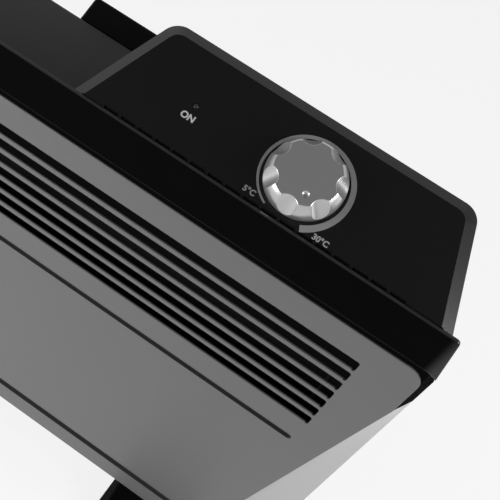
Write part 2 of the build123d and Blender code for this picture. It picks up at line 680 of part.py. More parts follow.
def thermostat_knob():
    skirt_top = (KNOB_BASE_R, KNOB_GAP + KNOB_SKIRT)
    profile = Polyline([
        skirt_top, (KNOB_BASE_R, KNOB_GAP), (0, KNOB_GAP), (0, KNOB_TOP), (KNOB_TOP_R, KNOB_TOP),
    ]) + TangentArc(skirt_top, (KNOB_TOP_R, KNOB_TOP), tangent=(0, 1))
    knob = revolve(Plane.XZ * make_face(profile), Axis.Z)
    for index in range(SCALLOPS):
        turn = POINTER_ANGLE + 360.0 / SCALLOPS * (index + 0.5)
        knob -= Rot(0, 0, turn) * knob_scallop()
    knob = fillet(knob.faces().sort_by(Axis.Z)[-1].outer_wire().edges(), KNOB_TOP_EDGE_R)
    knob -= Rot(0, 0, POINTER_ANGLE) * Pos(DIMPLE_CENTRE_R, 0, KNOB_TOP + DIMPLE_RISE) * Sphere(DIMPLE_R)
    return KNOB_PLACE * (knob - shaft_end())


def thermostat_shaft():
    bottom = -PLATE_DEPTH - THERMOSTAT_SIZE[2] / 2
    return KNOB_PLACE * (rod_z(SHAFT_R, bottom, KNOB_GAP) + shaft_end())


def thermostat_body():
    """Switch block under the face, with a threaded neck that the shaft runs in."""
    width, length, height = THERMOSTAT_SIZE
    body = Pos(0, 0, -PLATE_DEPTH - height / 2) * Box(width, length, height)
    body = fillet(body.edges().filter_by(Axis.Z), THERMOSTAT_EDGE_R)
    body += rod_z(BUSHING_R, -PLATE_DEPTH, KNOB_GAP / 2)
    body -= rod_z(SHAFT_R + RUNNING_FIT, -PLATE_DEPTH - height / 2, KNOB_GAP)
    return KNOB_PLACE * body


def power_lamp_lens():
    lens = rod_z(LAMP_R, -PLATE_DEPTH, LAMP_RISE)
    return LAMP_PLACE * fillet(circles(lens).sort_by(Axis.Z)[-1], LAMP_DOME_R)


def power_lamp_body():
    bottom = -PLATE_DEPTH - LAMP_BODY_LENGTH
    body = rod_z(LAMP_BODY_R, bottom, -PLATE_DEPTH)
    return LAMP_PLACE * (body + rod_z(LAMP_BODY_R + LAMP_FLANGE, -PLATE_DEPTH - SHEET, -PLATE_DEPTH))


def wiring_duct():
    """Cable cover on the rear panel, whose top stands behind the roof and is closed there."""
    rear = REAR_Y + DUCT_DEPTH
    profile = polygon([
        (REAR_Y, DUCT_BOTTOM_Z), (rear, DUCT_BOTTOM_Z), (rear, ROOF_Z - DUCT_BACK_DROP),
        (REAR_Y + DUCT_RIDGE[0], ROOF_Z + DUCT_RIDGE[1]), (REAR_Y, ROOF_Z),
    ])
    half = DUCT_WIDTH / 2
    duct = extrude(Plane.YZ * profile, half, both=True)
    outside = [edge for edge in duct.edges() if edge.center().Y > REAR_Y and edge.center().Z > DUCT_BOTTOM_Z]
    duct = fillet(outside, DUCT_EDGE_R)
    half -= DUCT_WALL
    floor = DUCT_BOTTOM_Z + DUCT_WALL
    duct -= extrude(Plane.YZ * offset(profile, -DUCT_WALL, kind=Kind.INTERSECTION), half, both=True)
    duct -= block((-half, REAR_Y, floor), (half, REAR_Y + DUCT_WALL, REAR_TOP_Z))
    return Pos(DUCT_X, 0, 0) * duct - rod_z(GLAND_NECK_R + SEAT_FIT, DUCT_BOTTOM_Z, floor, DUCT_X, GLAND_Y)


def cord_gland():
    """Collar for the mains cord, with its neck in the duct's floor and a flange above it."""
    floor = DUCT_BOTTOM_Z + DUCT_WALL
    bottom = DUCT_BOTTOM_Z - GLAND_LENGTH
    gland = rod_z(GLAND_R, bottom, DUCT_BOTTOM_Z, DUCT_X, GLAND_Y)
    gland = fillet(circles(gland).sort_by(Axis.Z)[0], GLAND_EDGE_R)
    gland += rod_z(GLAND_NECK_R, DUCT_BOTTOM_Z, floor, DUCT_X, GLAND_Y)
    gland += rod_z(GLAND_FLANGE_R, floor, floor + DUCT_WALL, DUCT_X, GLAND_Y)
    return gland - rod_z(GLAND_BORE_R, bottom, floor + DUCT_WALL, DUCT_X, GLAND_Y)


def terminal_x(way):
    """Middle of one terminal, counted from the middle one."""
    return DUCT_X + way * TERMINAL_PITCH


def terminal_block():
    width, depth, height = TERMINAL_SIZE
    low = (DUCT_X - width / 2, REAR_Y, TERMINAL_Z)
    body = block(low, (DUCT_X + width / 2, REAR_Y + depth, TERMINAL_Z + height))
    body = chamfer(body.faces().sort_by(Axis.Y)[-1].edges(), TERMINAL_EDGE)
    rear, middle = REAR_Y + depth, TERMINAL_Z + height / 2
    for way in (-1, 0, 1):
        body -= rod_y(TERMINAL_SCREW_R, rear - TERMINAL_SCREW_DEPTH, rear, terminal_x(way), middle)
    return body


def heating_element():
    """Extruded aluminium element: a core with long and short fins in turn."""
    profile = Circle(ELEMENT_CORE_R)
    for index in range(ELEMENT_FINS):
        reach = ELEMENT_SHORT_R if index % 2 else ELEMENT_R
        fin = Pos(reach / 2, 0) * Rectangle(reach, FIN_THICKNESS)
        profile += Rot(0, 0, 360.0 / ELEMENT_FINS * (index + 0.5)) * fin
    profile -= Circle(ROD_R)
    return extrude(Plane.YZ * Pos(0, ELEMENT_Z) * profile, ELEMENT_HALF, both=True)


def heating_rod():
    """Sheathed resistance rod with a terminal pin at each end."""
    rod = rod_x(ROD_R, -ROD_END_X, ROD_END_X, 0, ELEMENT_Z)
    return rod + rod_x(PIN_R, -ROD_END_X - PIN_LENGTH, ROD_END_X + PIN_LENGTH, 0, ELEMENT_Z)


def element_bracket(side):
    low, high = ELEMENT_Z - BRACKET_DROP, ELEMENT_Z + BRACKET_RISE
    web = block((BRACKET_X, -BRACKET_FRONT, low), (CUTOUT_X, BACK_Y, high))
    bracket = web + block((BRACKET_X, BACK_Y - BRACKET_SHEET, low), (CUTOUT_X + BRACKET_FOOT, BACK_Y, high))
    bracket -= rod_x(INSULATOR_R, BRACKET_X, CUTOUT_X, 0, ELEMENT_Z)
    for x, z in bracket_screw_places():
        if x > 0:
            bracket -= rod_y(SCREW_R + SCREW_FIT, BACK_Y - BRACKET_SHEET, BACK_Y, x, z)
    return other_side(bracket, side)


def end_insulator(side):
    """Ceramic sleeve that holds the rod in its bracket, with a collar against the web."""
    start = ELEMENT_HALF + SEAM
    sleeve = rod_x(INSULATOR_R, start, ROD_END_X, 0, ELEMENT_Z)
    sleeve += rod_x(INSULATOR_COLLAR_R, start, BRACKET_X, 0, ELEMENT_Z)
    return other_side(sleeve - rod_x(ROD_R, start, ROD_END_X, 0, ELEMENT_Z), side)


def heat_shield():
    """Bent reflector between the brackets, with its top turned back to the rear panel."""
    half = BRACKET_X
    front = BACK_Y - SHIELD_SETBACK
    low, high = ELEMENT_Z - BRACKET_DROP, ELEMENT_Z + BRACKET_RISE
    shield = block((-half, front, low), (half, front + SHIELD_SHEET, high))
    return shield + block((-half, front, high - SHIELD_SHEET), (half, BACK_Y, high))


def thermal_cutout():
    disc = rod_x(CUTOUT_R, CUTOUT_X, CUTOUT_X + CUTOUT_THICKNESS, 0, CUTOUT_Z)
    disc = fillet(circles(disc).sort_by(Axis.X)[-1], CUTOUT_EDGE_R)
    for side in (-1, 1):
        disc += Pos(TAB_END_X - TAB_SIZE[0] / 2, side * TAB_Y, CUTOUT_Z) * Box(*TAB_SIZE)
    return disc


def switch_case():
    """Open box on the rear panel with the pin that the weight swings on."""
    width, depth, height = SWITCH_SIZE
    x0, x1 = SWITCH_X - width / 2, SWITCH_X + width / 2
    case = block((x0, BACK_Y - depth, SWITCH_Z), (x1, BACK_Y, SWITCH_Z + height))
    case = fillet(case.edges().filter_by(Axis.X), SWITCH_EDGE_R)
    low = (x0 + SWITCH_WALL, BACK_Y - depth + SWITCH_WALL, SWITCH_Z + SWITCH_WALL)
    case -= block(low, (x1, BACK_Y - SWITCH_WALL, SWITCH_Z + height - SWITCH_WALL))
    return case + rod_x(SWITCH_PIN_R, x0 + SWITCH_WALL, x1, SWITCH_Y, SWITCH_PIN_Z)


def switch_cover():
    width, depth, height = SWITCH_SIZE
    x0 = SWITCH_X + width / 2
    cover = block((x0, BACK_Y - depth, SWITCH_Z), (x0 + SWITCH_WALL, BACK_Y, SWITCH_Z + height))
    return fillet(cover.edges().filter_by(Axis.X), SWITCH_EDGE_R)


def tilt_weight():
    """Pendulum that hangs on the switch's pin."""
    x0 = SWITCH_X - SWITCH_SIZE[0] / 2 + SWITCH_WALL + WEIGHT_END_GAP
    x1 = SWITCH_X + SWITCH_SIZE[0] / 2 - WEIGHT_END_GAP
    low_z = SWITCH_PIN_Z - WEIGHT_ARM
    weight = rod_x(WEIGHT_R, x0, x1, SWITCH_Y, low_z)
    weight += block((x0, SWITCH_Y - ARM_WIDTH / 2, low_z), (x1, SWITCH_Y + ARM_WIDTH / 2, SWITCH_PIN_Z))
    weight += rod_x(ARM_WIDTH / 2, x0, x1, SWITCH_Y, SWITCH_PIN_Z)
    return weight - rod_x(SWITCH_PIN_R + SWING_FIT, x0, x1, SWITCH_Y, SWITCH_PIN_Z)


def foot(side):
    """Moulded foot: a leg under the body that spreads into a long beam."""
    toe, leg = FOOT_LENGTH / 2, DEPTH / 2 - FOOT_LEG_INSET
    knee = leg + FOOT_LEG_FLARE
    side_view = polygon([
        (-toe, FOOT_LIFT), (toe, FOOT_LIFT), (toe, FOOT_TOE_HEIGHT), (knee, FOOT_BEAM_HEIGHT),
        (leg, BASE_Z), (-leg, BASE_Z), (-knee, FOOT_BEAM_HEIGHT), (-toe, FOOT_TOE_HEIGHT),
    ])
    half, neck = FOOT_WIDTH / 2, FOOT_NECK_WIDTH / 2
    front_view = polygon([
        (-half, FOOT_LIFT), (half, FOOT_LIFT), (half, FOOT_TOE_HEIGHT), (neck, FOOT_BEAM_HEIGHT),
        (neck, BASE_Z), (-neck, BASE_Z), (-neck, FOOT_BEAM_HEIGHT), (-half, FOOT_TOE_HEIGHT),
    ])
    shape = extrude(Plane.YZ * side_view, half, both=True) & extrude(Plane.XZ * front_view, toe, both=True)
    upright = shape.edges().filter_by(Axis.Z)
    shape = fillet(upright.group_by(lambda edge: round(abs(edge.center().Y), 3))[-1], FOOT_TOE_R)
    between = [edge for edge in shape.edges() if FOOT_LIFT < edge.center().Z < BASE_Z - FOOT_LIFT]
    shape = fillet(between, FOOT_EDGE_R)
    seat_x, seat_y = FOOT_SEAT[0] / 2, FOOT_SEAT[1] / 2
    shape += block((-seat_x, -seat_y, BASE_Z), (seat_x, seat_y, BASE_Z + SHEET))
    hollow_x, hollow_y = neck - FOOT_WALL, leg - FOOT_WALL
    shape -= block((-hollow_x, -hollow_y, 0), (hollow_x, hollow_y, FOOT_SCREW_Z))
    for offset in foot_screw_offsets():
        shape -= rod_z(SCREW_R + SCREW_FIT, FOOT_SCREW_Z, BASE_Z + SHEET, offset)
    width, length, height = PAD_SIZE
    for end in (-1, 1):
        shape -= Pos(0, end * PAD_Y, height / 2) * Box(width + 2 * SEAT_FIT, length + 2 * SEAT_FIT, height)
    return Pos(side * FOOT_X, 0, 0) * shape


def foot_pads(side):
    """Rubber pads in the foot's two pockets, which the heater stands on."""
    pads = []
    for end in (-1, 1):
        pad = Pos(side * FOOT_X, end * PAD_Y, PAD_SIZE[2] / 2) * Box(*PAD_SIZE)
        pads.append(chamfer(pad.faces().sort_by(Axis.Z)[0].edges(), PAD_EDGE))
    return Compound(children=pads)


def screw(length):
    """Round-headed screw: its seat at zero, head above, shank below, crossed recess."""
    head = fillet(circles(rod_z(HEAD_R, 0, HEAD_HEIGHT)).sort_by(Axis.Z)[-1], HEAD_EDGE_R)
    body = head + rod_z(SCREW_R, -length, 0)
    for angle in (0, 90):
        body -= Rot(0, 0, angle) * Pos(0, 0, HEAD_HEIGHT - RECESS[2] / 2) * Box(*RECESS)
    return body


def screws(places, z_dir, length):
    seats = [Plane(origin=place, x_dir=(1, 0, 0), z_dir=z_dir).location for place in places]
    return Compound(children=[seat * screw(length) for seat in seats])


def rear_screws():
    return screws([(x, REAR_Y, z) for x, z in rear_screw_places()], (0, 1, 0), 2 * SHEET + SCREW_TIP)


def bracket_screws():
    places = [(x, REAR_Y, z) for x, z in bracket_screw_places()]
    return screws(places, (0, 1, 0), SHEET + BRACKET_SHEET + SCREW_TIP)


def foot_screws():
    xs = [side * FOOT_X + offset for side in (-1, 1) for offset in foot_screw_offsets()]
    return screws([(x, 0, FOOT_SCREW_Z) for x in xs], (0, 0, -1), FOOT_GRIP + 2 * SHEET + SCREW_TIP)


def control_screws():
    places = [(x, CONTROL_SCREW_Y, ROOF_Z - COVER_WALL) for x in control_screw_xs()]
    return screws(places, (0, 0, -1), COVER_WALL + CONTROL_SCREW_DEPTH)


def wire(points, radius=WIRE_R):
    """An insulated wire along straight runs joined by tangent arcs."""
    path = FilletPolyline(*points, radius=WIRE_BEND)
    return sweep(Plane(origin=path @ 0, z_dir=path % 0) * Circle(radius), path=path)


def under_thermostat(offset, below=0.0):
    """A point under the thermostat, beside the knob's axis."""
    place = KNOB_PLACE * Pos(offset, 0, -PLATE_DEPTH - THERMOSTAT_SIZE[2] - below)
    return tuple(place.position)


def up_the_duct(way):
    """From the terminal block up the duct and through the rear panel's port."""
    x, y = terminal_x(way), REAR_Y + TERMINAL_SIZE[1] / 2
    return [(x, y, TERMINAL_Z + TERMINAL_SIZE[2]), (x, y, PORT_Z), (x, WIRE_Y, PORT_Z)]


def live_wire():
    """Terminal block to thermostat."""
    pins = [under_thermostat(-THERMOSTAT_WAY, below) for below in (2 * WIRE_LOOP, 0.0)]
    return wire(up_the_duct(1) + pins)


def thermostat_wire():
    """Thermostat to the thermal cut-out, down the right-hand end."""
    down_x = TAB_END_X + 2 * WIRE_LOOP
    return wire([
        under_thermostat(THERMOSTAT_WAY), under_thermostat(THERMOSTAT_WAY, 2 * WIRE_LOOP),
        (down_x, 0, PORT_Z), (down_x, 0, CUTOUT_Z + 2 * WIRE_LOOP), (TAB_END_X + WIRE_LOOP, TAB_Y, CUTOUT_Z),
        (TAB_END_X, TAB_Y, CUTOUT_Z),
    ])


def cutout_wire():
    """Thermal cut-out to the rod's right-hand pin."""
    pin_x = ROD_END_X + PIN_LENGTH
    return wire([
        (TAB_END_X, -TAB_Y, CUTOUT_Z), (TAB_END_X + WIRE_LOOP, -TAB_Y, CUTOUT_Z),
        (pin_x + WIRE_LOOP, 0, ELEMENT_Z), (pin_x, 0, ELEMENT_Z),
    ])


def neutral_wire():
    """Terminal block to tip-over switch, along the back of the top cover."""
    rise = PORT_Z + 2 * PORT_R
    x = terminal_x(-1)
    return wire(up_the_duct(-1) + [(x - WIRE_LOOP, WIRE_Y, rise), (SWITCH_X, SWITCH_Y, rise),
                                   (SWITCH_X, SWITCH_Y, SWITCH_Z + SWITCH_SIZE[2])])


def switch_wire():
    """Tip-over switch to the rod's left-hand pin."""
    pin_x = -ROD_END_X - PIN_LENGTH
    return wire([
        (SWITCH_X, SWITCH_Y, SWITCH_Z), (SWITCH_X, SWITCH_Y, SWITCH_Z - WIRE_LOOP),
        (SWITCH_X, 0, ELEMENT_Z), (pin_x, 0, ELEMENT_Z),
    ])


def lamp_lead():
    """Thermostat to lamp, under the control face."""
    lamp_end = -PLATE_DEPTH - LAMP_BODY_LENGTH
    low = -PLATE_DEPTH - THERMOSTAT_SIZE[2] - WIRE_LOOP
    u = -THERMOSTAT_SIZE[0] / 2 + THERMOSTAT_EDGE_R + LEAD_R
    lamp = KNOB_PLACE.inverse() * LAMP_PLACE
    x, y = lamp.position.X, lamp.position.Y
    route = [(x, y, lamp_end), (x, y, low), (u, 0, low), (u, 0, low + WIRE_LOOP)]
    return KNOB_PLACE * wire(route, LEAD_R)


PARTS = {
    "front_panel": front_panel,
    "side_cheek_right": lambda: side_cheek(1),
    "side_cheek_left": lambda: side_cheek(-1),
    "rear_panel": rear_panel,
    "bottom_plate": bottom_plate,
    "top_cover": top_cover,
    "control_housing": control_housing,
    "control_fascia": control_fascia,
    "dial_scale": dial_scale,
    "thermostat_knob": thermostat_knob,
    "thermostat_shaft": thermostat_shaft,
    "thermostat_body": thermostat_body,
    "power_lamp_lens": power_lamp_lens,
    "power_lamp_body": power_lamp_body,
    "wiring_duct": wiring_duct,
    "cord_gland": cord_gland,
    "terminal_block": terminal_block,
    "heating_element": heating_element,
    "heating_rod": heating_rod,
    "element_bracket_right": lambda: element_bracket(1),
    "element_bracket_left": lambda: element_bracket(-1),
    "end_insulator_right": lambda: end_insulator(1),
    "end_insulator_left": lambda: end_insulator(-1),
    "heat_shield": heat_shield,
    "thermal_cutout": thermal_cutout,
    "switch_case": switch_case,
    "switch_cover": switch_cover,
    "tilt_weight": tilt_weight,
    "foot_right": lambda: foot(1),
    "foot_left": lambda: foot(-1),
    "foot_pads_right": lambda: foot_pads(1),
    "foot_pads_left": lambda: foot_pads(-1),
    "rear_screws": rear_screws,
    "bracket_screws": bracket_screws,
    "foot_screws": foot_screws,
    "control_screws": control_screws,
    "live_wire": live_wire,
    "thermostat_wire": thermostat_wire,
    "cutout_wire": cutout_wire,
    "neutral_wire": neutral_wire,
    "switch_wire": switch_wire,
    "lamp_lead": lamp_lead,
}

os.makedirs("parts", exist_ok=True)
for name, make in PARTS.items():
    export_step(make(), f"parts/{name}.step")
    print(name)
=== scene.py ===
# %% [markdown]
# # Dressing a convector heater
# The heater's solids come from CAD, with every one of them already in its place. This file gives
# each solid the finish of the real thing, adds the printing on the control face, and builds a
# small product studio around it.

# %% Load the CAD frame
import json
import math

import bpy
from mathutils import Matrix, Vector


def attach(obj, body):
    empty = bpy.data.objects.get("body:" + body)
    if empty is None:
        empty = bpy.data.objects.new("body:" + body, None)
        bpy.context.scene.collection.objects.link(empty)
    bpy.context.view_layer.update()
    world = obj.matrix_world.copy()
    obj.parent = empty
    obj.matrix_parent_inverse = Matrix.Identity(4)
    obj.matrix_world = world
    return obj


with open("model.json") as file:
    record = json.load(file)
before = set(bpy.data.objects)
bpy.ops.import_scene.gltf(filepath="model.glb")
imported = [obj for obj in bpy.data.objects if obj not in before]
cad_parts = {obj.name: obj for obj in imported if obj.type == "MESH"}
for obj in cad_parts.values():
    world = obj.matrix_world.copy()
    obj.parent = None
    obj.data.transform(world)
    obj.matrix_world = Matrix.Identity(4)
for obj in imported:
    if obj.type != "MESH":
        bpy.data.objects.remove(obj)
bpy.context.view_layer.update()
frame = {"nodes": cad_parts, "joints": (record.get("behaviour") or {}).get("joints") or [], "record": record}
NODES = frame["nodes"]
bpy.context.scene.view_settings.view_transform = "Standard"
print("CAD nodes:", len(NODES))


# %% [markdown]
# ## The camera
# The photograph was taken from above the control end, with the camera rolled over so that the
# heater runs down the picture. A camera can be placed by a matrix of numbers, but three turns are
# easier to read and to change: first the roll about the view, then the tilt down from the
# horizon, then the turn round the vertical. The lens is given in millimetres on a 36 mm sensor.

# %% Set the camera
CAMERA_PLACE = Vector((0.22088, -0.2372, 0.61343))
CAMERA_TURN = math.radians(8.725)         # to the left of straight at the front
CAMERA_DOWN = math.radians(47.299)
CAMERA_ROLL = math.radians(27.047)
LENS_MM, SENSOR_MM = 48.756, 36.0
NEAREST_SEEN = 0.01                       # in metres


def set_camera():
    camera = bpy.data.objects.new("camera", bpy.data.cameras.new("camera"))
    bpy.context.scene.collection.objects.link(camera)
    camera.data.lens = LENS_MM
    camera.data.sensor_width = SENSOR_MM
    camera.data.sensor_fit = "HORIZONTAL"
    camera.data.clip_start = NEAREST_SEEN
    turn = Matrix.Rotation(CAMERA_TURN, 4, "Z")
    tilt = Matrix.Rotation(math.pi / 2 - CAMERA_DOWN, 4, "X")
    roll = Matrix.Rotation(CAMERA_ROLL, 4, "Z")
    camera.matrix_world = Matrix.Translation(CAMERA_PLACE) @ turn @ tilt @ roll
    bpy.context.scene.camera = camera
    return camera


view = set_camera().matrix_world.to_3x3() @ Vector((0, 0, -1))
print("camera looks along", [round(part, 3) for part in view])


# %% [markdown]
# ## Writing materials as sums
# A shader is a tree of nodes, and arithmetic is its most common part. Adding every Math node by
# hand makes long code that hides the idea. A small class that wraps one output lets the rest of
# this file say `0.4 + 0.1 * grain` and get the Math nodes for it. Every other node comes from one
# method, which takes the node's type, its settings and what goes into its sockets.

# %% A class for values that vary over a surface
class Field:
    """One output of a shader node. Sums with it add Math nodes."""

    def __init__(self, finish, socket):
        self.finish = finish
        self.socket = socket

    def _maths(self, operation, first, second):
        return self.finish.node("ShaderNodeMath", {"operation": operation}, {0: first, 1: second})

    def __add__(self, other):
        return self._maths("ADD", self, other)

    def __sub__(self, other):
        return self._maths("SUBTRACT", self, other)

    def __rsub__(self, other):
        return self._maths("SUBTRACT", other, self)

    def __mul__(self, other):
        return self._maths("MULTIPLY", self, other)

    __radd__ = __add__
    __rmul__ = __mul__


# %% A class for one finish
MIX_FACTOR, MIX_A, MIX_B, MIX_RESULT = 0, 6, 7, 2      # sockets of a Mix node set to colours


class Finish:
    """A material with one Principled shader, and the nodes that feed it."""

    def __init__(self, name, **fixed):
        self.material = bpy.data.materials.new(name)
        self.material.use_nodes = True
        self.tree = self.material.node_tree
        self.shader = self.tree.nodes["Principled BSDF"]
        self.set(**fixed)

    def feed(self, socket, value):
        """Links a varying value to a socket, or sets a constant on it."""
        if isinstance(value, Field):
            self.tree.links.new(value.socket, socket)
        else:
            socket.default_value = value

    def set(self, **values):
        """Feeds the shader's own sockets, each named with _ for a space."""
        for socket, value in values.items():
            self.feed(self.shader.inputs[socket.replace("_", " ")], value)

    def node(self, kind, settings=None, sockets=None, output=0):
        made = self.tree.nodes.new(kind)
        for name, value in (settings or {}).items():
            setattr(made, name, value)
        for key, value in (sockets or {}).items():
            self.feed(made.inputs[key], value)
        return Field(self, made.outputs[output])

    def place(self):
        """Where a point is on the object, in metres."""
        return self.node("ShaderNodeTexCoord", output="Object")

    def noise(self, size, detail=2.0, stretch=(1.0, 1.0, 1.0)):
        """Soft random value about 0.5, with spots of that size in metres."""
        where = self.node("ShaderNodeMapping", None, {"Vector": self.place(), "Scale": stretch})
        sockets = {"Vector": where, "Scale": 1.0 / size, "Detail": detail}
        return self.node("ShaderNodeTexNoise", None, sockets)

    def cells(self, size):
        """Distance from the nearest of many scattered points, each patch of that size in metres."""
        sockets = {"Vector": self.place(), "Scale": 1.0 / size}
        return self.node("ShaderNodeTexVoronoi", None, sockets)

    def between(self, low, high, share):
        """A colour between two others, of which each is three numbers or itself a mixture."""
        ends = {MIX_A: low, MIX_B: high}
        sockets = {key: end if isinstance(end, Field) else opaque(end) for key, end in ends.items()}
        sockets[MIX_FACTOR] = share
        return self.node("ShaderNodeMix", {"data_type": "RGBA"}, sockets, MIX_RESULT)

    def shades(self, colour, spread, share):
        """A colour that is darker or lighter by that spread as the share goes from 0 to 1."""
        return self.between(scaled(colour, 1 - spread), scaled(colour, 1 + spread), share)

    def bump(self, height, depth):
        """Normal of a surface whose relief is that deep, in metres."""
        self.set(Normal=self.node("ShaderNodeBump", None, {"Height": height, "Distance": depth}))


def opaque(colour):
    return (*colour, 1.0)


def scaled(colour, share):
    return tuple(channel * share for channel in colour)


def grey(level):
    return (level, level, level)


# %% Helpers for masks
def ramp(finish, value, start, end, low=0.0, high=1.0):
    """Moves smoothly from low to high as the value goes from start to end."""
    return finish.node("ShaderNodeMapRange", {"interpolation_type": "SMOOTHSTEP"}, {
        "Value": value, "From Min": start, "From Max": end, "To Min": low, "To Max": high})


def part_of(finish, vector, axis):
    """One of the three numbers of a vector."""
    return finish.node("ShaderNodeSeparateXYZ", None, {0: vector}, output=axis)


def size_of(finish, value):
    """The value without its sign."""
    return finish.node("ShaderNodeMath", {"operation": "ABSOLUTE"}, {0: value})


# %% A table of finishes
FINISHES = {}                 # from the record's names to materials


def make_all(kind, recipes):
    for name, recipe in recipes.items():
        FINISHES[name] = kind(name, **recipe)
    print("made", ", ".join(recipes))


# %% [markdown]
# ## Powder coat on the steel shells
# The panel, the cheeks and the rear are pressed steel with baked powder paint. Close up such paint
# is never flat: it flows into low waves about a millimetre across, called orange peel, and fine
# specks in it catch the light. A picture of paint would do for a flat wall, but it stretches where
# a sheet bends. Noise on the object's own coordinates keeps its size on every piece. In the two
# pressed lines and the louvre openings, everything behind the panel's face is painted darker, as
# painted shade in those recesses.

# %% Powder coat
# The colour of the painted shade in the pressed lines and louvre openings.
PAINTED_RECESS_SHADE = grey(0.055)
RECESS_SHADE_FADE = 0.0004          # the painted shade fades in over this depth
SPECK, WAVE, CLOUD = 0.00035, 0.0011, 0.06      # sizes of the paint's three patterns
WAVE_DEPTH = 0.00002
PRESSED_FROM = -0.02295       # how far back the pressed lines start; behind it the colour is painted shade


def powder_coat(name, colour, roughness, specular, shade_from=None):
    coat = Finish(name, Specular_IOR_Level=specular)
    speck = coat.noise(SPECK, detail=1.0)
    cloud = coat.noise(CLOUD, detail=2.0)
    paint = coat.shades(colour, 0.1, 0.2 + 0.3 * speck + 0.3 * cloud)
    if shade_from is not None:
        # Behind that depth the colour is painted darker, as shade in the recesses.
        back = part_of(coat, coat.place(), "Y")
        recess_shade = ramp(coat, back, shade_from, shade_from + RECESS_SHADE_FADE)
        paint = coat.between(paint, PAINTED_RECESS_SHADE, recess_shade)
    coat.set(Base_Color=paint, Roughness=roughness - 0.04 + 0.05 * speck + 0.03 * cloud)
    coat.bump(coat.noise(WAVE, detail=1.5), WAVE_DEPTH)
    return coat.material


make_all(powder_coat, {
    "panel_paint": dict(
        colour=(0.158, 0.158, 0.16), roughness=0.5, specular=0.4, shade_from=PRESSED_FROM),
    "cheek_paint": dict(colour=(0.55, 0.55, 0.555), roughness=0.5, specular=0.3),
    "rear_paint": dict(colour=grey(0.02), roughness=0.55, specular=0.3),
})


# %% [markdown]
# ## Moulded plastic
# The top cover, the control unit and the feet come out of spark-eroded moulds, so their skin is a
# fine leathery grain of shallow pits. A Voronoi texture gives the pits, a little noise keeps them
# from looking like tiles, and the roughness follows the pits, because the tops of the grain get
# polished by hands and cloths. The skin itself hardly shines. What shines is a thin satin layer
# over it, the shader's coat. That is a better place for it than the skin's own gloss, because the
# coat has a weight that can vary over a piece.

# %% Moulded plastic
SATIN_ROUGHNESS = 0.25
# The grey of the painted highlights along the cover's edges.
PAINTED_EDGE_LIGHT = grey(0.03)
STAIN = 0.03                  # size of the slow changes of shade


def moulded(name, colour, roughness=0.5, pit=0.0006, depth=0.00003, satin=1.0, edge_highlights=None):
    """Grained plastic. Its satin and where edge highlights are painted may be masks made for it."""
    plastic = Finish(name, Specular_IOR_Level=0.0, Coat_Roughness=SATIN_ROUGHNESS)
    pits = plastic.cells(pit)
    cloud = plastic.noise(STAIN, detail=3.0)
    skin = plastic.shades(colour, 0.15, cloud)
    # The skin's colour is painted lighter where the edge highlight mask says so.
    plastic.set(
        Base_Color=plastic.between(skin, PAINTED_EDGE_LIGHT, edge_highlights(plastic)) if edge_highlights else skin,
        Roughness=roughness + 0.08 * pits - 0.06 * cloud,
        Coat_Weight=satin(plastic) if callable(satin) else satin,
    )
    plastic.bump(0.8 * pits + 0.4 * plastic.noise(pit / 2, detail=1.0), depth)
    return plastic.material


make_all(moulded, {
    "fascia_plastic": dict(colour=grey(0.004), roughness=0.4, depth=0.000008),
    "inner_plastic": dict(colour=grey(0.02)),
    "terminal_plastic": dict(colour=(0.7, 0.68, 0.62), depth=0.00001),
    "duct_plastic": dict(colour=grey(0.004), satin=0.15),
})


# %% [markdown]
# ## Where the black mouldings are satin
# The tall front band, the skirt and every upright face are dead matt. The roof, the rounded rim
# and the bevels round the control face are satin, and they all face up or down by more than a
# little. Painting a mask by hand would need a UV map of each moulding. Here the satin follows
# which way the surface faces, from the object's own normal, so it fits any moulding.

# %% Satin on level faces
MATT = 0.02                   # what is left of the satin on an upright face
LEANING, LEVEL = 0.45, 0.95   # how far up or down a face points where satin starts and is full


def satin_when_level(plastic):
    normal = plastic.node("ShaderNodeTexCoord", output="Normal")
    level = size_of(plastic, part_of(plastic, normal, "Z"))
    return ramp(plastic, level, LEANING, LEVEL, low=MATT)


make_all(moulded, {"foot_plastic": dict(colour=grey(0.003), satin=satin_when_level)})


# %% [markdown]
# ## Rubbed ends and painted edge highlights on the top cover
# The ends of the band are rubbed where hands lift the heater, so they shine. Along the band's lower
# edge, its rim and the roof's rear edge, thin paler lines are painted highlights, standing in for
# the light that these rounded edges catch. Strips of geometry could carry those lines, but a mask
# that measures how far a point is from each edge paints them on the surface itself. Strips of geometry could
# carry those lines, but wear isn't a
# piece. A mask that measures how far a point is from each edge draws them on the surface itself.
# The band's lower edge is straight, with a round cut at each corner of the panel, so a point's
# distance from it is its distance from that cut's centre, less the cut's radius.

# %% The band's outline
RIM_Z, ROOF_Z = 0.4065, 0.4045
BAND_FRONT_Y, BAND_BACK_Y, ROOF_REAR_Y = -0.0270, -0.0252, 0.0227
CUT_X, CUT_Z, CUT_RADIUS = 0.2836, 0.3620, 0.0178
BAND_END_X = 0.2895
HAIR = 0.0001                 # a tenth of a millimetre, for the sharp side of a mask


def across(plastic):
    """How far a point is from the middle of the heater's width."""
    return size_of(plastic, part_of(plastic, plastic.place(), "X"))


def on_band_front(plastic):
    depth = part_of(plastic, plastic.place(), "Y")
    return ramp(plastic, depth, BAND_BACK_Y, BAND_FRONT_Y + 4 * HAIR)


def above_cut(plastic):
    """How far a point of the band's front is from its lower edge, round the corners too."""
    past = {0: across(plastic) - CUT_X, 1: 0.0}
    out = plastic.node("ShaderNodeMath", {"operation": "MAXIMUM"}, past)
    up = part_of(plastic, plastic.place(), "Z") - CUT_Z
    flat = plastic.node("ShaderNodeCombineXYZ", None, {"X": out, "Y": up})
    reach = plastic.node("ShaderNodeVectorMath", {"operation": "LENGTH"}, {0: flat}, "Value")
    return reach - CUT_RADIUS


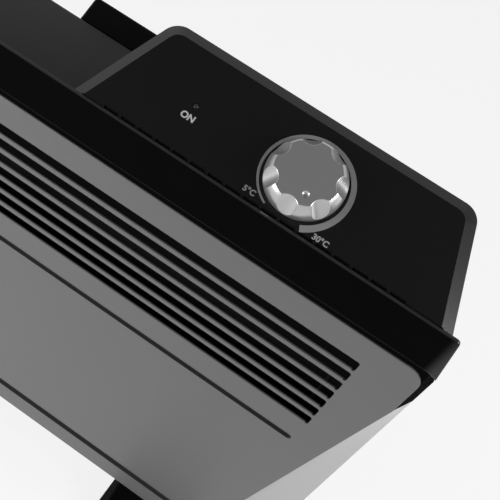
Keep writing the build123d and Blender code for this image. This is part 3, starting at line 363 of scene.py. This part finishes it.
print("band front is", round((RIM_Z - CUT_Z - CUT_RADIUS) * 1000, 1), "mm high")


# %% Satin and painted edge highlights of the cover
RUBBED_LENGTH, RUBBED_SATIN = 0.0065, 0.9      # of each end of the band
# Width and strengths of the painted highlights along the cover's edges.
HIGHLIGHT_WIDTH = 0.0010
LOWER_HIGHLIGHT, RIM_HIGHLIGHT, REAR_HIGHLIGHT = 0.6, 0.7, 1.5


def cover_satin(plastic):
    end = ramp(plastic, across(plastic), BAND_END_X - RUBBED_LENGTH, BAND_END_X)
    return satin_when_level(plastic) + RUBBED_SATIN * (on_band_front(plastic) * end)


def cover_edge_highlights(plastic):
    """How far the colour is painted lighter as edge highlights, by the distance from the edges."""
    height, depth = (part_of(plastic, plastic.place(), axis) for axis in "ZY")

    def after(value, edge, start, full):
        """Starts and is full at those shares of the highlight's width past an edge."""
        return ramp(plastic, value, edge + HIGHLIGHT_WIDTH * start, edge + HIGHLIGHT_WIDTH * full)

    lower = on_band_front(plastic) * after(above_cut(plastic), 0.0, 1.0, 0.7)
    rim = after(height, RIM_Z, -0.6, -0.2)
    rim = rim * ramp(plastic, depth, BAND_BACK_Y + HAIR, BAND_BACK_Y)
    rear = after(depth, ROOF_REAR_Y, -1.2, -0.9) * after(height, ROOF_Z, -1.0, -0.8)
    rear = rear * ramp(plastic, height, ROOF_Z + 2 * HAIR, ROOF_Z + HAIR)
    return LOWER_HIGHLIGHT * lower + RIM_HIGHLIGHT * rim + REAR_HIGHLIGHT * rear


make_all(moulded, {
    "cover_plastic": dict(colour=grey(0.003), satin=cover_satin, edge_highlights=cover_edge_highlights),
})


# %% [markdown]
# ## Bright metal
# Zinc-plated brackets, mill-finish aluminium and turned brass share one recipe: a metal whose
# roughness is streaked along the way that it was rolled or turned. The shader's anisotropy could
# give such a shine too, but it draws no lines. Noise that is stretched along one axis does.

# %% Metal
STREAK, BLOOM = 0.0006, 0.012      # sizes of the fine lines and of the slow patches
STREAK_DEPTH = 0.000008
DULL, BRIGHT = 0.82, 1.08          # shares of the metal's colour in those patches
ALONG_X, ALONG_Z, ALL_WAYS = (0.05, 1.0, 1.0), (1.0, 1.0, 0.05), (1.0, 1.0, 1.0)


def metal(name, colour, roughness, stretch=ALL_WAYS):
    bare = Finish(name, Metallic=1.0)
    lines = bare.noise(STREAK, detail=3.0, stretch=stretch)
    bloom = bare.noise(BLOOM, detail=3.0)
    bare.set(
        Base_Color=bare.between(scaled(colour, DULL), scaled(colour, BRIGHT), bloom),
        Roughness=roughness - 0.1 + 0.14 * lines + 0.08 * bloom,
    )
    bare.bump(lines, STREAK_DEPTH)
    return bare.material


make_all(metal, {
    "steel": dict(colour=(0.55, 0.55, 0.56), roughness=0.35),
    "zinc_steel": dict(colour=(0.5, 0.51, 0.52), roughness=0.45, stretch=ALONG_Z),
    "element_aluminium": dict(colour=(0.6, 0.6, 0.62), roughness=0.4, stretch=ALONG_X),
    "brass_weight": dict(colour=(0.7, 0.55, 0.25), roughness=0.35),
    "screw_steel": dict(colour=(0.2, 0.2, 0.205), roughness=0.4),
})


# %% [markdown]
# ## Satin silver lacquer
# The knob is moulded plastic under a silver lacquer. It reflects like a metal but softly, with
# very fine flakes in it. A fully metallic shader looks like polished steel and a plain one like
# grey paint, so this one is metallic by the share of flakes, and flakes a fifth of a millimetre
# wide move its roughness.

# %% Silver lacquer
FLAKE, FLAKE_DEPTH = 0.0002, 0.000002


def silver_lacquer(name, level, roughness, flakes):
    """Lacquer of that grey in which the share of metal flakes is flakes."""
    lacquer = Finish(name, Metallic=flakes)
    flake = lacquer.noise(FLAKE, detail=1.0)
    lacquer.set(
        Base_Color=lacquer.shades(grey(level), 0.08, flake),
        Roughness=roughness - 0.03 + 0.06 * flake,
    )
    lacquer.bump(flake, FLAKE_DEPTH)
    return lacquer.material


make_all(silver_lacquer, {"knob_satin": dict(level=0.5, roughness=0.3, flakes=0.75)})


# %% [markdown]
# ## Small finishes
# Printing ink, ceramic, rubber and wire sleeving need little: a colour that is not quite even,
# and a fine relief. Each could have a recipe of its own, but they would all say the same thing, so
# one recipe with a few numbers does for them all.

# %% Plain finishes
INK = dict(roughness=0.5, spot=0.0004, depth=0.000004)


def plain(name, colour, roughness, spot, depth, specular=0.4):
    skin = Finish(name, Specular_IOR_Level=specular)
    spots = skin.noise(spot, detail=3.0)
    skin.set(
        Base_Color=skin.shades(colour, 0.12, spots),
        Roughness=roughness - 0.05 + 0.1 * spots,
    )
    skin.bump(spots, depth)
    return skin.material


make_all(plain, {
    "white_ink": dict(colour=grey(0.5), **INK),
    "grey_ink": dict(colour=grey(0.3), **INK),
    "scale_print": dict(colour=grey(0.22), **INK),
    "lamp_lens": dict(colour=(0.03, 0.028, 0.028), roughness=0.3, spot=0.002, depth=0.000001),
    "ceramic": dict(colour=(0.8, 0.78, 0.73), roughness=0.6, spot=0.0008, depth=0.00001),
    "pad_rubber": dict(colour=grey(0.015), roughness=0.75, spot=0.001, depth=0.00002),
    "wire_insulation": dict(
        colour=grey(0.01), roughness=0.6, spot=0.0006, depth=0.00002, specular=0.1),
})


# %% [markdown]
# ## Every solid gets its finish
# The record names the finish of every solid, so a loop can hand them out, and a solid that has no
# finish stops the script. The wiring duct is the one exception. It is moulded of the cover's
# plastic, but its skin is matt all over.

# %% Finish every CAD solid
OWN_FINISH = {"wiring_duct": "duct_plastic"}

for subpart in frame["record"]["subparts"]:
    solid = NODES[subpart["node"]]
    solid.data.materials.clear()
    finish_name = OWN_FINISH.get(subpart["node"], subpart["material_slot"])
    solid.data.materials.append(FINISHES[finish_name])


# %% [markdown]
# ## Printing on the control face
# The dial has a number at each end of its scale, and the lamp has a word under it. On the real
# face they are pad printed, a few hundredths of a millimetre thick. Letters drawn as meshes by
# hand would take long and look no better than a text object does. The text is made a mesh before
# it is put in place, and the place comes from the knob's own axis, which stands square on the
# control face.

# %% Print the marks
INK_THICKNESS = 0.00004
NUMBER_SIZE, WORD_SIZE = 0.0039, 0.0046
FATTER = 0.035                # than the plain letters, as a share of their size
turning = next(joint for joint in frame["joints"] if joint["name"] == "knob_turn")
KNOB_CENTRE, FACE_NORMAL = Vector(turning["pos_m"]), Vector(turning["axis"])
FACE_SLOPE = math.atan2(-FACE_NORMAL.y, FACE_NORMAL.z)
FACE_TURN = Matrix.Translation(KNOB_CENTRE) @ Matrix.Rotation(FACE_SLOPE, 4, "X")


def print_mark(name, words, right, up, size=NUMBER_SIZE, ink="grey_ink"):
    """Flat letters on the control face, centred at that distance from the knob's axis."""
    bpy.ops.object.select_all(action="DESELECT")
    bpy.ops.object.text_add()
    mark = bpy.context.object
    mark.name = name
    mark.data.body = words
    mark.data.align_x, mark.data.align_y = "CENTER", "CENTER"
    mark.data.size = size
    mark.data.offset = FATTER * size
    mark.data.extrude = INK_THICKNESS / 2
    bpy.ops.object.convert(target="MESH")
    mark = bpy.context.object
    mark.data.materials.clear()
    mark.data.materials.append(FINISHES[ink])
    mark.matrix_world = FACE_TURN @ Matrix.Translation((right, up, INK_THICKNESS / 2))
    bpy.ops.object.transform_apply(location=True, rotation=True, scale=True)
    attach(mark, "heater")
    print(name, "is", round(mark.dimensions.x * 1000, 1), "mm wide")


print_mark("mark_lamp", "ON", right=-0.0608, up=-0.0045, size=WORD_SIZE, ink="white_ink")
print_mark("mark_low", "5°C", right=-0.0180, up=-0.0182)
print_mark("mark_high", "30°C", right=0.0204, up=-0.0197)


# %% [markdown]
# ## The floor
# The heater stands on a pale floor. More light would make the floor white, but the heater too
# bright. So the floor is white because it says so to the camera and to reflections, and keeps a
# little of its own lit paper, on which the shadow shows.

# %% Floor
FLOOR_SIZE = 8.0
FLOOR_DROP = 0.0002           # keeps the floor just clear of the rubber pads
FLOOR_WHITE = 0.82            # how much of the floor's look is plain white
PAPER_DARK, PAPER_LIGHT, PAPER_CLOUD = grey(0.86), grey(0.9), 0.4


def seen_directly(finish):
    """1 for rays from the camera, or that a mirror or glass passes on, and 0 for room light."""
    camera, glossy, transmission = (
        finish.node("ShaderNodeLightPath", output=f"Is {kind} Ray")
        for kind in ("Camera", "Glossy", "Transmission"))
    return camera + glossy + transmission


def lay_floor():
    bpy.ops.object.select_all(action="DESELECT")
    bpy.ops.mesh.primitive_plane_add(size=FLOOR_SIZE, location=(0, 0, -FLOOR_DROP))
    floor = bpy.context.object
    floor.name = "floor"
    bpy.ops.object.transform_apply(location=True)
    paper = Finish("floor_paper", Roughness=0.9, Specular_IOR_Level=0.0)
    paper.set(Base_Color=paper.between(PAPER_DARK, PAPER_LIGHT, paper.noise(PAPER_CLOUD)))
    white = paper.node("ShaderNodeEmission", None, {"Color": opaque(grey(1.0)), "Strength": 1.0})
    lit = Field(paper, paper.shader.outputs[0])
    share = FLOOR_WHITE * seen_directly(paper)
    mixed = paper.node("ShaderNodeMixShader", None, {0: share, 1: lit, 2: white})
    paper.feed(paper.tree.nodes["Material Output"].inputs["Surface"], mixed)
    floor.data.materials.append(paper.material)


lay_floor()
print("floor is", FLOOR_SIZE, "m wide")


# %% [markdown]
# ## The world
# The world is a pale backdrop that darkens overhead, as a room does above a lit set. A world of
# one grey would be simpler. But with this one, smooth surfaces that lean back look darker than
# ones that face the backdrop, as they do in the photograph.

# %% World
HORIZON, OVERHEAD = 0.85, 0.12            # how bright the world is at eye level and overhead
DARKEST_AT = 0.95                         # how far up that is, where straight up is 1


def light_world():
    world = bpy.data.worlds.new("studio")
    bpy.context.scene.world = world
    world.use_nodes = True
    nodes, link = world.node_tree.nodes, world.node_tree.links.new
    rise = nodes.new("ShaderNodeSeparateXYZ")
    link(nodes.new("ShaderNodeTexCoord").outputs["Generated"], rise.inputs[0])
    level = nodes.new("ShaderNodeMapRange")
    level.interpolation_type = "SMOOTHSTEP"
    for name, value in {"From Max": DARKEST_AT, "To Min": HORIZON, "To Max": OVERHEAD}.items():
        level.inputs[name].default_value = value
    link(rise.outputs["Z"], level.inputs["Value"])
    link(level.outputs[0], nodes["Background"].inputs["Strength"])
    nodes["Background"].inputs["Color"].default_value = opaque(grey(1.0))


light_world()
print("world goes from", HORIZON, "to", OVERHEAD)


# %% [markdown]
# ## Two soft boxes
# One soft box stands low to the left of the front, and one stands to the right of the control
# end. Sun lamps would give hard edges and point lamps hot spots, while these are wide enough for
# soft shadows and small enough to leave clear highlights on the knob's scallops. The right-hand
# one is what makes the end of the heater so much lighter than its front.

# %% Lamps
AIM = Vector((0.19, -0.02, 0.38))


def soft_box(name, turn, rise, distance, size, watts):
    """A square lamp that faces the control end, turned by degrees to the right of the front."""
    angle, slope = math.radians(turn), math.radians(rise)
    forward = -math.cos(angle) * math.cos(slope)
    way = Vector((math.sin(angle) * math.cos(slope), forward, math.sin(slope)))
    lamp = bpy.data.objects.new(name, bpy.data.lights.new(name, "AREA"))
    bpy.context.scene.collection.objects.link(lamp)
    lamp.data.shape = "SQUARE"
    lamp.data.size = size
    lamp.data.energy = watts
    facing = way.to_track_quat("Z", "Y").to_matrix().to_4x4()
    lamp.matrix_world = Matrix.Translation(AIM + way * distance) @ facing
    print(name, "stands at", [round(part, 2) for part in lamp.matrix_world.translation])


soft_box("soft_box_left", turn=-50, rise=8, distance=1.0, size=0.4, watts=4.5)
soft_box("soft_box_right", turn=94, rise=31, distance=1.4, size=0.5, watts=11.0)
